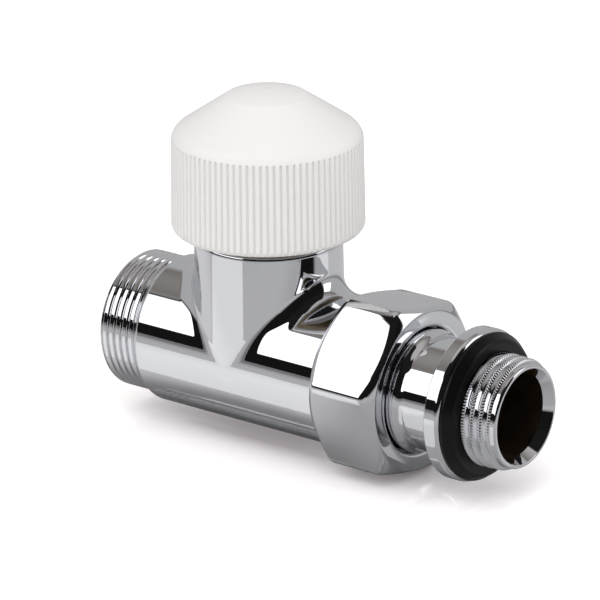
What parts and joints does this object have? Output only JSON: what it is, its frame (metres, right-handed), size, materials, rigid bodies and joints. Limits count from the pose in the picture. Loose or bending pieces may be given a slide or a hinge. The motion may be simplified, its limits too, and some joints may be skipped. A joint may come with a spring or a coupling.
{
  "type": "straight thermostatic radiator valve",
  "caption": "Chrome-plated straight radiator valve with a ribbed white cap on its insert, a hexagon union nut and a tailpiece with a rubber-sealed external thread.",
  "frame": {"origin": "centre of the inlet face, on the pipe axis", "axes": "+X along the pipe from the inlet to the tailpiece, +Z along the valve axis towards the top of the cap"},
  "size_m": [0.0866, 0.035, 0.066],
  "materials": {
    "chrome_plate": "polished",
    "white_cap": "satin",
    "black_rubber": "matte",
    "plain_brass": "turned",
    "stainless_steel": "turned"
  },
  "bodies": {
    "valve": {"valve_body": "chrome_plate", "insert_housing": "plain_brass", "insert_o_ring": "black_rubber", "gland_nut": "plain_brass", "gland_o_ring": "black_rubber", "gland_washer": "stainless_steel", "return_spring": "stainless_steel"},
    "stem": {"spindle": "plain_brass", "actuating_pin": "stainless_steel", "spring_plate": "stainless_steel", "spindle_clip": "stainless_steel", "disc_holder": "plain_brass", "valve_disc": "black_rubber", "disc_rivet": "plain_brass"},
    "cap": {"cap_shell": "white_cap"},
    "union_carrier": {"retaining_ring": "stainless_steel"},
    "nut": {"union_nut": "chrome_plate"},
    "tail": {"tailpiece": "chrome_plate", "union_o_ring": "black_rubber", "tail_seal_ring": "black_rubber"}
  },
  "joints": [
    {"name": "stem_lift", "type": "slide", "parent": "valve", "child": "stem", "axis": [0, 0, 1], "range_m": [0, 0.003], "deforming": ["return_spring"]},
    {"name": "cap_turn", "type": "hinge", "parent": "stem", "child": "cap", "pos_m": [0.03, 0, 0], "axis": [0, 0, 1], "range_deg": [0, 720]},
    {"name": "union_travel", "type": "slide", "parent": "valve", "child": "union_carrier", "axis": [1, 0, 0], "range_m": [0, 0.00907]},
    {"name": "nut_turn", "type": "hinge", "parent": "union_carrier", "child": "nut", "pos_m": [0.06, 0, 0], "axis": [1, 0, 0], "range_deg": [0, 1800]},
    {"name": "tailpiece_swivel", "type": "hinge", "parent": "union_carrier", "child": "tail", "pos_m": [0.07, 0, 0], "axis": [1, 0, 0], "continuous": true}
  ],
  "couplings": [
    {"joint": "stem_lift", "follows": "cap_turn", "m_per_rad": 0.00023873},
    {"joint": "union_travel", "follows": "nut_turn", "m_per_rad": 0.00028871}
  ]
}
